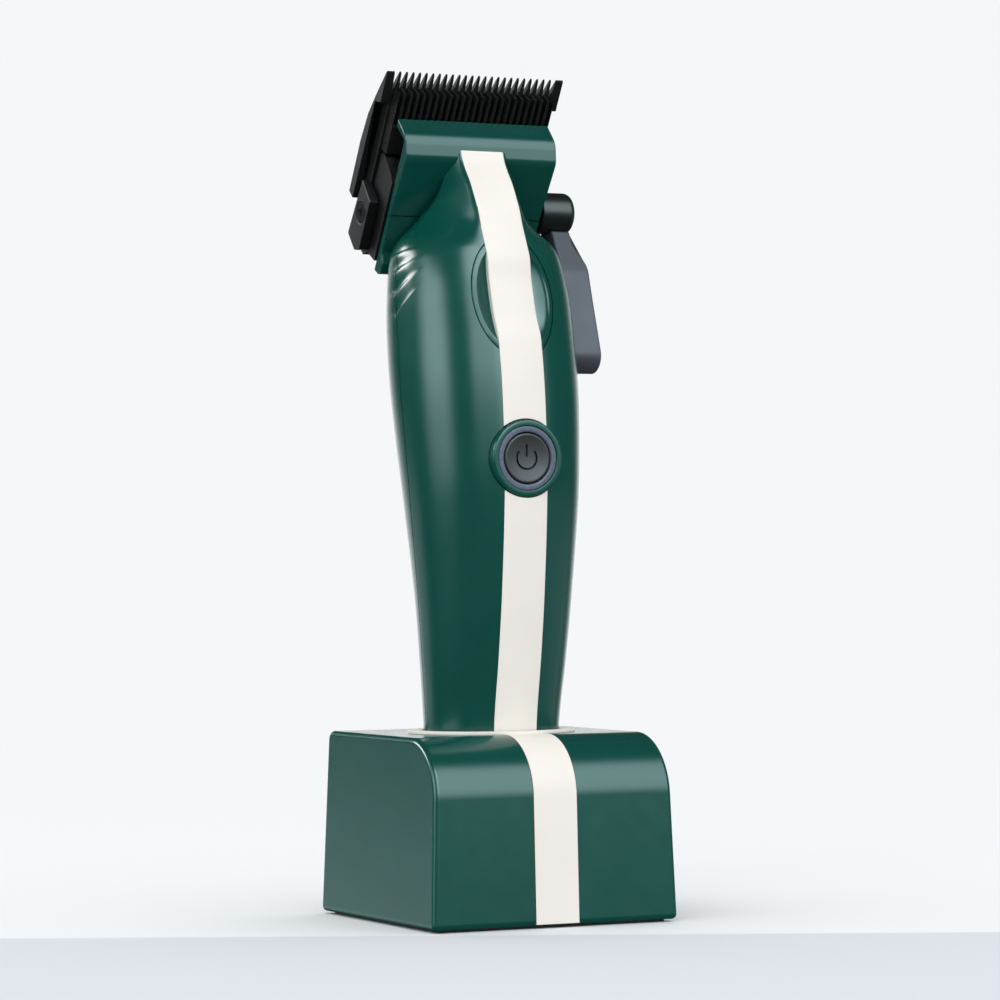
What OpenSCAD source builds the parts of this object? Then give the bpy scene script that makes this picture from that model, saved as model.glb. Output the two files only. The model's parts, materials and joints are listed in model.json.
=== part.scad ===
// Cordless hair clipper with a taper lever, standing in its charging dock.
// Millimetres, +Z up, front towards -Y, origin at the middle of the dock's base.

/* [Dock] */
// Width and depth of the dock at its base
dock_w = 62; // [60:0.5:66]
// Height of the dock
dock_h = 43; // [42:0.5:46]
// How far each side of the dock leans in over its height
dock_draft = 1.4; // [0.5:0.1:2]
// Radius of the rounded front top edge of the dock
dock_front_r = 14; // [10:1:16]
// Wall thickness of the dock
dock_wall = 2.2; // [1.6:0.1:3]

/* [Body] */
// Thickness of the clipper's two half shells
shell_t = 2.2; // [1.6:0.1:2.6]
// Width of the pale inlaid stripes
stripe_w = 10.9; // [9:0.1:12]
// Thickness of the stripes
stripe_t = 0.8; // [0.6:0.1:1]
// Height of the power button above the base
button_z = 106.2; // [104:0.1:108]

/* [Blades] */
// Distance of the blade tips behind the origin
tip_y = 8; // [7:0.5:9]
// Height of the blade tips
tip_z = 196.7; // [194:0.1:198]
// Lean of the blades from upright
blade_lean = 31; // [29:0.5:33]
// Width of the fixed blade
blade_w = 46; // [44:0.5:47]
// Distance from tooth to tooth
tooth_pitch = 1.7; // [1.6:0.05:1.8]
// Distance from the fixed blade's tips back to the cutter's tips
cutter_gap = 4; // [2.5:0.1:4.5]
// Throw of the eccentric that drives the cutter
throw = 1.2; // [0.8:0.1:1.4]

/* [Hidden] */
$fn = 48;
eps = 0.01;
far = 120;

green = "#0A4E42";
cream = "#F3EEE4";
black = "#141516";
slate = "#5C5E68";
steel = "#B9BCC0";
board = "#1E5A34";

// The body's sections: height, front line, middle, half width
SECTIONS = [
    [21, -10.0, 2.6, 15.4],
    [45, -11.0, 2.3, 16.4],
    [60, -13.4, 1.3, 17.6],
    [75, -15.4, 0.9, 18.8],
    [97, -17.1, 1.8, 20.8],
    [110, -17.0, 3.2, 21.7],
    [124, -16.0, 5.1, 22.3],
    [137, -13.9, 7.1, 22.1],
    [145, -12.0, 8.0, 21.7],
    [153, -9.0, 9.5, 20.5],
    [157, -7.2, 10.0, 18.7],
    [161, -5.2, 10.0, 15.0],
    [164, -3.7, 9.0, 12.8],
    [167, -1.9, 8.0, 10.8],
    [171, 0.6, 7.6, 9.2],
    [174, 3.0, 7.7, 8.6],
    [176.5, 4.6, 8.0, 8.2],
    [179.2, 5.6, 8.4, 8.0]];
body_low = SECTIONS[0][0];
body_top = SECTIONS[len(SECTIONS) - 1][0];
ring_points = 36;
ring_step = 5;
socket_gap = 0.5;       // running room between the clipper's foot and the socket
usb_z = 13.7;            // height of the charging inlet
stripe_gap = 0.05;      // room beside and behind each inlaid stripe
button_hole_r = 8.9;

// The line in (y, z) where the front and rear shells meet, and the rear shell's top
split_line = [[3.4, 0], [3.4, 44], [2.2, 75], [1.8, 100], [2.8, 116], [4.7, 132], [7, 144],
    [9.2, 154]];
rear_top = 154;
shell_gap = 0.1;

// The head's outline in blade coordinates: down from the tips, then towards the blade's back
head_nose = [[10, -3.9], [11.3, -9.1], [12.1, -10.4], [13.6, -11.3], [16.2, -12.5], [31, -11.6]];
head_chin = [[42, -11.6], [43.6, -13], [45.6, -13.2], [46.7, -11.8]];
head_inside = -9.6;     // the inner side of the head's wall
head_half = 19.6;
head_seam_z = 163.7;
notch_z = 174.5;        // above this height the body's tip lies in a notch in the head

// The clamps on the head's sides: their inner and outer faces, and how far their screws lie
// down the blades, left and right
clamp_x = [20.1, 22.6];
function clamp_screw_d(side) = side < 0 ? 35.5 : 40.5;

// The motor's place: the foot of its axis and its lean
motor_foot = [0, 5.5, 102];
motor_lean = 12;
motor_r = 11.5;
motor_len = 35;
pin_r = 1;
shaft_r = 1.15;
run_gap = 0.05;

// The lever's pivot
lever_pivot = [0, 18.6, 166];
lever_shaft_r = 1.6;
lever_hub_r = 5;
crank_throw = 1.9;
crank_pin_r = 0.7;
// The lever pivot's distance down the blades
link_d = (lever_pivot[1] - tip_y) * sin(blade_lean) - (lever_pivot[2] - tip_z) * cos(blade_lean);

// The oval thumb dish: middle, lean and half axes
dish_mid = [0, -12.3, 143.6];
dish_lean = 17;
dish_half = [10.2, 15.2];
dish_depth = 2;
dish_back = 3.3;        // the insert's back, down from the skin

// The three body screws' heads, from the back
body_screws_at = [[12.5, 19.9, 142.5], [-12.5, 19.9, 142.5], [0, 11.9, 28]];

/* ---- functions of the body ---- */

function slope(i, k) =
    let (a = max(i - 1, 0), b = min(i + 1, len(SECTIONS) - 1))
    (SECTIONS[b][k] - SECTIONS[a][k]) / (SECTIONS[b][0] - SECTIONS[a][0]);

function span_of(z, i = 0) =
    (i >= len(SECTIONS) - 2 || z < SECTIONS[i + 1][0]) ? i : span_of(z, i + 1);

// A smooth curve through column k of the sections
function along(z, k) =
    let (i = span_of(z), h = SECTIONS[i + 1][0] - SECTIONS[i][0],
        t = (z - SECTIONS[i][0]) / h, t2 = t * t, t3 = t2 * t)
    (2 * t3 - 3 * t2 + 1) * SECTIONS[i][k] + (t3 - 2 * t2 + t) * h * slope(i, k)
    + (3 * t2 - 2 * t3) * SECTIONS[i + 1][k] + (t3 - t2) * h * slope(i + 1, k);

function half_depth(z) = along(z, 2) - along(z, 1);

// One ring of the body, drawn in by inset on every side
function ring(z, inset, zz) = [for (i = [0:ring_points - 1])
    let (t = 360 * i / ring_points)
    [(along(zz, 3) - inset) * cos(t), along(zz, 2) + (half_depth(zz) - inset) * sin(t), z]];

// A closed solid through a list of rings with equal numbers of points
module skin(rings) {
    n = len(rings[0]);
    m = len(rings);
    side = [for (j = [0:m - 2], i = [0:n - 1])
        let (k = (i + 1) % n)
        [j * n + i, (j + 1) * n + i, (j + 1) * n + k, j * n + k]];
    foot = [[for (i = [0:n - 1]) i]];
    lid = [[for (i = [n - 1:-1:0]) (m - 1) * n + i]];
    polyhedron([for (r = rings) each r], concat(foot, side, lid), convexity = 8);
}

// The body from z0 to z1, drawn in by inset; past its ends it keeps its end sections
module body_core(z0, z1, inset) {
    between = [for (z = [body_low:ring_step:body_top]) if (z > z0 + 0.5 && z < z1 - 0.5) z];
    skin([for (z = concat([z0], between, [z1]))
        ring(z, inset, min(max(z, body_low), body_top))]);
}

// Joins sculpted solids into one
module sculpt() resize([0, 0, 0]) children();

/* ---- places and helpers ---- */

// Blade coordinates: x across, y down from the tips, z towards the blade's back
module at_blade() translate([0, tip_y, tip_z]) rotate([blade_lean - 90, 0, 0]) children();

// Motor coordinates: z up the shaft
module at_motor() translate(motor_foot) rotate([-motor_lean, 0, 0]) children();

// Dish coordinates: y up the body, z out of it
module at_dish() translate(dish_mid) rotate([90 - dish_lean, 0, 0]) children();

// An outline in (y, z) drawn out along x from x0 to x1
module across(x0, x1) translate([x0, 0, 0]) rotate([90, 0, 90]) linear_extrude(x1 - x0) children();

// A round bar along x from x0 to x1
module bar_x(r, x0, x1) translate([x0, 0, 0]) rotate([0, 90, 0]) cylinder(r = r, h = x1 - x0);

// A round bar along y from y0 to y1
module bar_y(r, y0, y1) translate([0, y0, 0]) rotate([-90, 0, 0]) cylinder(r = r, h = y1 - y0);

// A pan-head screw along -z with its head's underside at z = 0
module screw(r, length, head_r, head_h) {
    difference() {
        cylinder(r = head_r, h = head_h);
        for (a = [0, 90]) rotate(a)
            translate([-head_r * 0.6, -head_r * 0.11, head_h * 0.45])
                cube([head_r * 1.2, head_r * 0.22, head_h]);
    }
    translate([0, 0, -length]) cylinder(r = r, h = length);
}

// The half of space in front of the shells' parting line, moved back by shift
module front_half(shift) {
    across(-far, far)
        polygon(concat([[-far, -5]], [for (p = split_line) [p[0] + shift, p[1]]],
            [[far, rear_top + shift], [far, 250], [-far, 250]]));
}

// The whole head, grown by gap, as a solid that the shells are cut by
module head_space(gap) {
    at_blade() across(-far / 2, far / 2)
        offset(delta = gap)
            polygon(concat(head_nose, head_chin, [[46.7, 40], [-5, 40], [-5, -3.9]]));
}

// What the shells are cut by: the head, but for the notch around the body's tip
module shell_limit() {
    difference() {
        head_space(0.15);
        translate([-far / 2, -far / 2, notch_z]) cube(far);
    }
    head_space(-1.6);
}

/* ---- dock ---- */

// The dock's outer form drawn in by inset; the foot is at z0
module dock_form(inset, z0) {
    half0 = dock_w / 2 - inset;
    half1 = dock_w / 2 - dock_draft - inset;
    edge = 2;
    top = dock_h - inset;
    r = dock_front_r - inset;
    hull() {
        for (x = [-1, 1], y = [-1, 1])
            translate([x * (half0 - edge), y * (half0 - edge), z0])
                cylinder(r = edge, h = eps, $fn = 20);
        for (x = [-1, 1])
            translate([x * (half1 - edge), half1 - edge, top - edge]) sphere(r = edge, $fn = 20);
        for (x = [-1, 1], a = [0:15:90])
            translate([x * (half1 - edge), -half1 + r - (r - edge) * cos(a),
                top - r + (r - edge) * sin(a)]) sphere(r = edge, $fn = 20);
    }
}

// The four screws' places in the dock
module at_dock_screws()
    for (x = [-1, 1], y = [-1, 1]) translate([x * 21, y * 21, 0]) children();

// A slot with round ends, width by height
module slot_2d(w, h) {
    square([w - h, h], center = true);
    for (x = [-1, 1]) translate([x * (w - h) / 2, 0]) circle(r = h / 2);
}

// The socket for the clipper's foot, wider than the body by gap
module socket_space(z0, z1, gap) body_core(z0, z1, -gap);

// All that lies over the dock's front and top to within inset of its skin, w wide
module dock_stripe_space(w, inset) {
    difference() {
        translate([-w / 2, -far, 1.2]) cube([w, far - 13, dock_h]);
        dock_form(inset, -1);
    }
}

module dock_housing() color(green) sculpt() {
    difference() {
        dock_form(0, 1);
        dock_form(dock_wall, -1);
        dock_stripe_space(stripe_w + 2 * stripe_gap, stripe_t + stripe_gap);
        socket_space(25, 50, 2.1);
        translate([0, dock_w / 2, usb_z]) rotate([90, 0, 0])
            linear_extrude(8, center = true) slot_2d(9.6, 3.9);
    }
    intersection() {
        dock_form(dock_wall / 2, 2);
        difference() {
            at_dock_screws() translate([0, 0, 3.1]) cylinder(r = 3.6, h = dock_h);
            at_dock_screws() cylinder(r = 1.55, h = 14);
        }
    }
}

module dock_base_plate() color(black) {
    half = dock_w / 2 - dock_wall - 0.4;
    corner = 2.2;
    difference() {
        translate([0, 0, 1]) linear_extrude(2) offset(r = corner)
            square(2 * (half - corner), center = true);
        at_dock_screws() cylinder(r = 1.7, h = 5);
        at_dock_screws() cylinder(r = 3.1, h = 2.1);
    }
}

module dock_pad() color(black) {
    side = dock_w - 5;
    translate([-side / 2, -side / 2, 0]) cube([side, side, 1]);
}

module dock_stripe() color(cream) sculpt()
    intersection() {
        dock_form(0, 0);
        dock_stripe_space(stripe_w, stripe_t);
    }

module dock_socket_ring() color(cream) sculpt() {
    difference() {
        translate([0, 2.3, dock_h + 0.05]) scale([20 / 17, 1, 1]) cylinder(r = 17, h = 0.6);
        socket_space(35, 50, socket_gap);
    }
}

module dock_socket_cup() color(black) sculpt() {
    difference() {
        socket_space(18.3, dock_h - 0.1, 2);
        socket_space(20.4, 50, socket_gap);
        for (x = [-4, 4]) translate([x, 2.6, 10]) cylinder(r = 1.5, h = 20, $fn = 24);
    }
}

module dock_contact_pins() color("gold")
    for (x = [-4, 4]) translate([x, 2.6, 0]) {
        translate([0, 0, 13.7]) cylinder(r = 0.6, h = 2);
        translate([0, 0, 15]) cylinder(r = 1.9, h = 2);
        translate([0, 0, 16]) cylinder(r = 1.2, h = 5.2);
    }

module dock_circuit_board() color(board) {
    difference() {
        translate([-15, -14, 10.4]) cube([30, 41, 1.6]);
        for (x = [-4, 4]) translate([x, 2.6, 9]) cylinder(r = 2.2, h = 5);
    }
    for (x = [-12, 8], y = [-10, 14]) translate([x, y, 12]) cube([4, 3, 1.5]);
}

module dock_ballast() color(steel)
    difference() {
        translate([-24, -24, 3.1]) cube([48, 48, 5]);
        at_dock_screws() cylinder(r = 4.6, h = 10);
    }

module dock_usb_socket() color(steel) {
    translate([0, dock_w / 2 - 0.8, usb_z]) rotate([90, 0, 0]) {
        difference() {
            linear_extrude(8) slot_2d(9, 3.3);
            translate([0, 0, -1]) linear_extrude(8) slot_2d(8.3, 2.6);
        }
        translate([-3.3, -0.35, 0.6]) cube([6.6, 0.7, 7]);
    }
}

module dock_screws() color(steel)
    at_dock_screws() translate([0, 0, 2]) mirror([0, 0, 1]) screw(1.5, 10, 3, 0.95);

/* ---- clipper body ---- */

// The dish's cut into the body: an oval pocket as deep as the insert
module dish_pocket(gap, depth) {
    at_dish() translate([0, 0, -depth])
        scale([dish_half[0] + gap, dish_half[1] + gap, 1]) cylinder(r = 1, h = depth + 6);
}

// All that lies in front of the body to within t of its skin, w wide
module stripe_space(w, t) {
    difference() {
        translate([-w / 2, -far / 2, 0]) cube([w, far / 2 + 6, 200]);
        body_core(body_low - 5, body_top + 5, t);
    }
}

module stripe_band(z0, z1)
    intersection() {
        body_core(z0, z1, 0);
        stripe_space(stripe_w, stripe_t);
    }

module at_body_screws()
    for (p = body_screws_at) translate([p[0], 0, p[2]]) children();

// Both shells before they are parted, with posts for the body screws
module half_shell() {
    difference() {
        union() {
            difference() {
                body_core(body_low, body_top, 0);
                body_core(body_low - 4, body_top - 4, shell_t);
            }
            intersection() {
                body_core(body_low, body_top, shell_t / 2);
                at_body_screws() bar_y(3.8, -far / 2, far / 2);
            }
        }
        shell_limit();
    }
}

module front_shell() color(green) sculpt() {
    difference() {
        intersection() {
            half_shell();
            front_half(-shell_gap / 2);
        }
        stripe_space(stripe_w + 2 * stripe_gap, stripe_t + stripe_gap);
        dish_pocket(0.1, dish_back + 0.1);
        translate([0, 0, button_z]) bar_y(button_hole_r, -30, -8);
        at_body_screws() bar_y(1.3, -6, 40);
    }
}

module rear_shell() color(green) sculpt() {
    difference() {
        half_shell();
        front_half(shell_gap / 2);
        at_body_screws() bar_y(1.7, -6, 60);
        for (p = body_screws_at) translate([p[0], 0, p[2]]) bar_y(3, p[1] - 0.05, 60);
    }
}

module end_cap() color(black) sculpt() {
    difference() {
        body_core(body_low, 24, shell_t + 0.15);
        for (x = [-9.5, 9.5]) translate([x, 2.6, 20]) {
            cylinder(r = 1.3, h = 9);
            cylinder(r = 2.5, h = 2.6);
        }
        for (x = [-4, 4]) translate([x, 2.6, 20]) cylinder(r = 2.1, h = 9);
    }
}

module end_cap_screws() color(steel)
    for (x = [-9.5, 9.5]) translate([x, 2.6, 22.6]) mirror([0, 0, 1]) screw(1.2, 8, 2.4, 1.2);

module charge_contacts() color("gold")
    for (x = [-4, 4]) translate([x, 2.6, 21.3]) {
        cylinder(r = 2, h = 1.4);
        cylinder(r = 0.8, h = 4);
    }

module stripe_upper() color(cream) sculpt() {
    difference() {
        stripe_band(101, body_top - 0.6);
        dish_pocket(-0.5, dish_back);
        shell_limit();
        translate([0, 0, button_z]) bar_y(button_hole_r + 0.2, -30, 0);
        translate([-10, -30, 90]) cube([20, 30, button_z - 90]);
    }
    intersection() {
        dish_pocket(0, 2.6);
        at_dish() translate([-stripe_w / 2, -20, -2.6]) cube([stripe_w, 40, 0.8]);
    }
}

module stripe_lower() color(cream) sculpt() {
    difference() {
        stripe_band(body_low, 111);
        translate([0, 0, button_z]) bar_y(button_hole_r + 0.2, -30, 0);
        translate([-10, -30, button_z]) cube([20, 30, 20]);
    }
}

module thumb_dish() color(green) sculpt() {
    difference() {
        intersection() {
            dish_pocket(0, dish_back);
            at_dish() translate([-15, -20, -dish_back]) cube([30, 40, dish_back - dish_depth]);
        }
        at_dish() translate([-stripe_w / 2 - stripe_gap, -20, -2.65])
            cube([stripe_w + 2 * stripe_gap, 40, 3]);
    }
}

/* ---- button, battery and board ---- */

module tube_y(r_out, r_in, y0, y1)
    translate([0, 0, button_z])
        difference() {
            bar_y(r_out, y0, y1);
            bar_y(r_in, y0 - 1, y1 + 1);
        }

module button_bezel() color(green) tube_y(8.8, 7.45, -17.5, -14.6);

module indicator_ring() color("#5F6A74") tube_y(7.35, 5.95, -17.3, -14.6);

module power_button() color("#3A3B3E")
    translate([0, 0, button_z]) {
        difference() {
            bar_y(5.7, -17.2, -15.4);
            bar_y(4.9, -18, -16.95);
        }
        bar_y(2, -15.5, -14.9);
    }

module power_switch() color(black)
    translate([0, 0, button_z]) {
        translate([-3, -13, -3]) cube([6, 2.15, 6]);
        bar_y(1.5, -14, -12.9);
    }

module main_circuit_board() color(board) {
    translate([-6.5, -10.8, 70]) cube([13, 1.6, 48]);
    translate([-4, -9.2, 99.5]) cube([8, 1.2, 9]);
    for (z = [74, 82]) translate([-3, -12.2, z]) cube([6, 1.4, 4]);
}

module battery() color("#2E5C8A")
    translate([0, 2.4, 33]) {
        cylinder(r = 9.2, h = 64);
        translate([0, 0, 64]) cylinder(r = 4, h = 1);
    }

module battery_holder() color(black)
    for (z = [48, 82]) translate([0, 2.4, z])
        difference() {
            cylinder(r = 10.4, h = 7);
            translate([0, 0, -1]) cylinder(r = 9.3, h = 9);
            translate([-12, -14, -1]) cube([24, 9, 9]);
        }

module body_screws() color(steel)
    for (p = body_screws_at) translate(p) rotate([-90, 0, 0]) screw(1.25, 15, 2.8, 1.6);

/* ---- drive ---- */

module motor_can() color(steel) at_motor()
    difference() {
        cylinder(r = motor_r, h = motor_len);
        translate([0, 0, motor_len - 8]) cylinder(r = shaft_r + run_gap + 0.2, h = 9);
    }

module motor_bearing() color("#C9A04E") at_motor()
    translate([0, 0, motor_len + 0.02])
        difference() {
            cylinder(r = 3.5, h = 2);
            translate([0, 0, -1]) cylinder(r = shaft_r + run_gap, h = 4);
        }

module motor_shaft() color(steel) at_motor()
    translate([0, 0, motor_len - 7]) cylinder(r = shaft_r, h = 11.8);

module eccentric() color(steel) at_motor()
    translate([0, 0, motor_len + 2.6]) {
        difference() {
            cylinder(r = 4, h = 3);
            translate([0, 0, -1]) cylinder(r = shaft_r + 0.01, h = 3.3);
        }
        translate([0, throw, 2.9]) cylinder(r = pin_r, h = 5.1);
    }

module motor_mount() color(black) at_motor()
    translate([0, 0, 22])
        difference() {
            union() {
                cylinder(r = motor_r + 1.4, h = 5);
                translate([-3, -15.5, 0]) cube([6, 4, 5]);
            }
            translate([0, 0, -1]) cylinder(r = motor_r + 0.03, h = 7);
        }

/* ---- head ---- */

// The half of space above the seam between the head's cover and its base, moved up by shift
module above_seam(shift)
    translate([-far / 2, -far / 2, head_seam_z + shift]) cube([far, far, far]);

module head_cover() color(green)
    intersection() {
        difference() {
            at_blade() across(-head_half, head_half) polygon(concat(head_nose,
                [[36, -11.6], [36, head_inside], [13.2, head_inside], [12.2, -3.9]]));
            at_blade() translate([-5.6, 19.6, -13]) cube([11.2, 20, 8]);
            body_core(notch_z, body_top + 0.1, -0.1);
        }
        above_seam(0.05);
    }

module head_base() color(green)
    difference() {
        at_blade() across(-head_half, head_half)
            polygon(concat([[25, -11.6]], head_chin, [[46.7, head_inside], [25, head_inside]]));
        at_blade() translate([-8, 24, -14]) cube([16, 19.5, 8]);
        above_seam(-0.05);
    }

module blade_bracket() color(black)
    difference() {
        at_blade() {
            across(-17.6, 17.6) polygon([[20.6, -0.2], [20.6, -8.2], [44.4, -8.2],
                [44.4, -4.8], [46, -3], [45, 1.8], [37.6, 2.2], [36.9, -0.2]]);
            for (side = [-1, 1])
                across(side > 0 ? 17.5 : -20, side > 0 ? 20 : -17.5)
                    polygon([[20, -2], [23, -8.2], [24.4, -9.4], [44.4, -9.4],
                        [44.4, -4.8], [46, -3], [45, 1.8], [37.6, 2.2], [36.9, -0.2], [21, -0.2]]);
        }
        at_blade() {
            translate([-9.5, 20, -12]) cube([19, 14, 14]);
            for (x = [-13, 13]) {
                for (d = [27, 28.6]) translate([x, d, -12]) cylinder(r = 1.75, h = 14);
                translate([x - 1.75, 27, -12]) cube([3.5, 1.6, 14]);
            }
            translate([15, 26.5, -12]) cube([3.7, 11, 15]);
            for (side = [-1, 1])
                translate([side * 16.5, clamp_screw_d(side), -2]) bar_x(1.55, -4.5, 4.5);
        }
        translate(lever_pivot) bar_x(2.25, 18, 21);
    }

// A clamp on the head's right side; a step inside it clears the blade over its travel
module side_clamp(screw_d)
    at_blade() difference() {
        across(clamp_x[0], clamp_x[1])
            polygon([[28.3, 1.2], [31, -5.5], [43.5, -5.5], [45, -2.8], [43, 2.5]]);
        translate([20, 27, -0.25]) cube([0.95, 9.6, 5]);
        translate([0, screw_d, -2]) {
            bar_x(1.6, 19, 24);
            bar_x(2.6, clamp_x[1] - 1.1, 24);
        }
    }

module side_clamp_left() color(black) mirror([1, 0, 0]) side_clamp(clamp_screw_d(-1));

module side_clamp_right() color(black)
    difference() {
        side_clamp(clamp_screw_d(1));
        translate(lever_pivot) bar_x(lever_hub_r + 0.5, 19, 24);
    }

module side_screws() color(black) at_blade()
    for (side = [-1, 1])
        translate([side * (clamp_x[1] - 1.05), clamp_screw_d(side), -2])
            rotate([0, side * 90, 0]) screw(1.5, 4.2, 2.5, 1);

module hold_down_spring() color(steel) at_blade() {
    for (x = [-9, 7])
        across(x, x + 2) polygon([[13, -4], [13, -4.5], [15, -4.5], [26, -8.9], [39.5, -8.9],
            [39.5, -8.4], [26.2, -8.4], [15.2, -4]]);
    translate([-7.1, 36, -8.9]) cube([14.2, 3.5, 0.5]);
}

// A comb's edge in (x, d): count gaps at the pitch, each open to tip_d and pointed at its root
function comb(count, root_d, tip_d, root_gap, tip_gap) = [for (i = [0:count - 1])
    let (x = (i - (count - 1) / 2) * tooth_pitch)
    each [[x - tip_gap / 2, tip_d], [x - root_gap / 2, root_d + root_gap / 2],
        [x + root_gap / 2, root_d + root_gap / 2], [x + tip_gap / 2, tip_d]]];

module fixed_blade() color(black)
    at_blade() difference() {
        union() {
            across(-20.7, 20.7) polygon([[0.6, 0], [0, 0.3], [7.1, 3.1], [13.1, 5.1],
                [20.4, 5.9], [33.6, 5.8], [34.5, 1], [33.5, 0]]);
            across(-blade_w / 2, blade_w / 2) polygon([[0.6, 0], [0, 0.3], [7.1, 3.1], [13.1, 5.1],
                [20.4, 5.9], [33.6, 5.8], [34.2, 3.2], [9, 2.9], [8, 0]]);
        }
        translate([0, 0, -1]) linear_extrude(8)
            polygon(concat([[-20.8, -1]], comb(25, 5, -0.5, 0.5, 1.25), [[20.8, -1]]));
        for (x = [-13, 13]) translate([x, 27, -1]) {
            cylinder(r = 1.6, h = 9);
            translate([0, 0, 5]) cylinder(r = 3.5, h = 4);
        }
    }

module blade_screws() color(black)
    at_blade() for (x = [-13, 13]) translate([x, 27, 4.05]) screw(1.5, 13, 3.4, 1.6);

module blade_nuts() color(steel)
    at_blade() for (x = [-13, 13]) translate([x - 2.6, 24, -9.4])
        difference() {
            cube([5.2, 6, 1.1]);
            translate([2.6, 3, -1]) cylinder(r = 1.52, h = 4);
        }

module blade_link() color(steel)
    at_blade() difference() {
        translate([15.2, 30.05, -9.45]) cube([2, 3.35, 9.45]);
        translate([15, link_d - crank_pin_r - 0.1, -10]) cube([3, 2 * crank_pin_r + 0.2, 3]);
    }

module moving_blade() color(black)
    at_blade() difference() {
        translate([-20.2, cutter_gap, -3.2]) cube([40.4, 15.6, 3.15]);
        translate([0, 0, -4]) linear_extrude(8)
            polygon(concat([[-19.6, 3]], comb(24, 12, 3.6, 0.8, 1.05), [[19.6, 3]]));
    }

module cutter_yoke() color("#26282A") sculpt() {
    at_blade() translate([-5, 12.6, -6.2]) cube([10, 6.8, 3]);
    hull() {
        at_blade() translate([-4, 15, -6]) cube([8, 4, 2]);
        at_motor() translate([-4, -4.6, 44.2]) cube([8, 2.1, 1.8]);
    }
    at_motor() difference() {
        translate([-7, -4.8, 44]) cube([14, 9.8, 2.2]);
        translate([-3.7, -2.5, 43]) cube([7.4, 5, 5]);
    }
}

/* ---- taper lever ---- */

// The arm's bends: [y, z, radius, outer face]; it steps outward below the hub
lever_arm = [[18, 162.5, 3.8, 26.8], [16, 157.5, 3.8, 26.8], [13.8, 151, 4, 30.5],
    [8.4, 131, 4.4, 30.9]];

module taper_lever() color(slate)
    difference() {
        union() {
            translate(lever_pivot) bar_x(lever_hub_r, 20.4, 29.2);
            for (i = [1:len(lever_arm) - 1])
                hull()
                    for (p = [lever_arm[i - 1], lever_arm[i]])
                        translate([0, p[0], p[1]]) bar_x(p[2], 23.2, p[3]);
        }
        translate(lever_pivot) bar_x(lever_shaft_r + 0.01, 19, 27);
    }

module lever_shaft() color(steel)
    translate(lever_pivot) bar_x(lever_shaft_r, 17.6, 26.9);

module lever_crank() color(steel)
    difference() {
        translate(lever_pivot) rotate([blade_lean - 90, 0, 0]) {
            bar_x(2.75, 17.55, 18.55);
            translate([0, 0, -crank_throw]) bar_x(crank_pin_r, 15.1, 17.6);
        }
        translate(lever_pivot) bar_x(lever_shaft_r + 0.01, 17.59, 19);
    }

module lever_bushing() color("#C9A04E")
    translate(lever_pivot)
        difference() {
            bar_x(2.2, 18.7, 20);
            bar_x(lever_shaft_r + run_gap, 18, 21);
        }

dock_housing();
dock_base_plate();
dock_pad();
dock_stripe();
dock_socket_ring();
dock_socket_cup();
dock_contact_pins();
dock_circuit_board();
dock_ballast();
dock_usb_socket();
dock_screws();
front_shell();
rear_shell();
end_cap();
stripe_upper();
stripe_lower();
thumb_dish();
button_bezel();
indicator_ring();
power_button();
power_switch();
main_circuit_board();
battery();
battery_holder();
charge_contacts();
body_screws();
end_cap_screws();
motor_can();
motor_bearing();
motor_shaft();
eccentric();
motor_mount();
head_cover();
head_base();
blade_bracket();
side_clamp_left();
side_clamp_right();
side_screws();
hold_down_spring();
fixed_blade();
blade_screws();
blade_nuts();
blade_link();
moving_blade();
cutter_yoke();
taper_lever();
lever_shaft();
lever_crank();
lever_bushing();
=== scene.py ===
"""Looks of a cordless hair clipper that stands in its charging dock.

Pieces are built in millimetres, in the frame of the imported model, and scaled to metres when
they are placed.
"""
import json
import math

import bpy
import bmesh
from mathutils import Matrix, Vector


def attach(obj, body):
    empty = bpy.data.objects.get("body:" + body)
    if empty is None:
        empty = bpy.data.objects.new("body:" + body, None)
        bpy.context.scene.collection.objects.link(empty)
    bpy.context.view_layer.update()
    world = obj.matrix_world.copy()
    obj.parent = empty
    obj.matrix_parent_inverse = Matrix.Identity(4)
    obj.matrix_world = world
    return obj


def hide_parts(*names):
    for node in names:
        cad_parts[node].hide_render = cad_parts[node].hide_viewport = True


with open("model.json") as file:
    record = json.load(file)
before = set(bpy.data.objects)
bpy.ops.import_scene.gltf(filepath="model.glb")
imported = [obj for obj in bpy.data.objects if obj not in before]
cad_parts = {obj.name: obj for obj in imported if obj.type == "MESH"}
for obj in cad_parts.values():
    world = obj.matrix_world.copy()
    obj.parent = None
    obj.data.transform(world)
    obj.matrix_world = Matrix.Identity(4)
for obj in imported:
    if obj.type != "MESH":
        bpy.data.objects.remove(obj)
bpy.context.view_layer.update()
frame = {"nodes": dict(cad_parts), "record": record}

MM = 0.001
FAR = 60                                # beyond the clipper's surface, for solids that cut it

# ---- dimensions, in millimetres, as in the CAD model ----

DOCK_HALF = 31.0
DOCK_TOP = 43.0
DOCK_DRAFT = 1.4
DOCK_FRONT_R = 14.0
DOCK_EDGE_R = 2.0
DOCK_WALL = 2.2
DOCK_FOOT = 0.6
STRIPE_HALF = 5.45
STRIPE_T = 0.8
UPPER_T = 1.4                           # the upper stripe, which dips where it crosses the dish
STRIPE_PROUD = 0.1
STRIPE_ROUND = 0.15                     # the width over which its skin falls away at each side
STRIPE_SIDE = 0.07                      # and the place of one more column there
BUTTON_Z = 106.2
SHELL_HOLE_R = 8.98                     # the hole for the button's bezel in the front shell
STRIPE_HOLE_R = 9.12                    # and in the stripes
SCREW_HOLE_R = 3.0
TIP_Y = 8.0
TIP_Z = 196.7
BLADE_LEAN = math.radians(31)
HEAD_HALF = 19.6
HEAD_SEAM_Z = 163.7
SHELL_T = 2.2
SHELL_GAP = 0.3
USB_Z = 13.7
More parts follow.
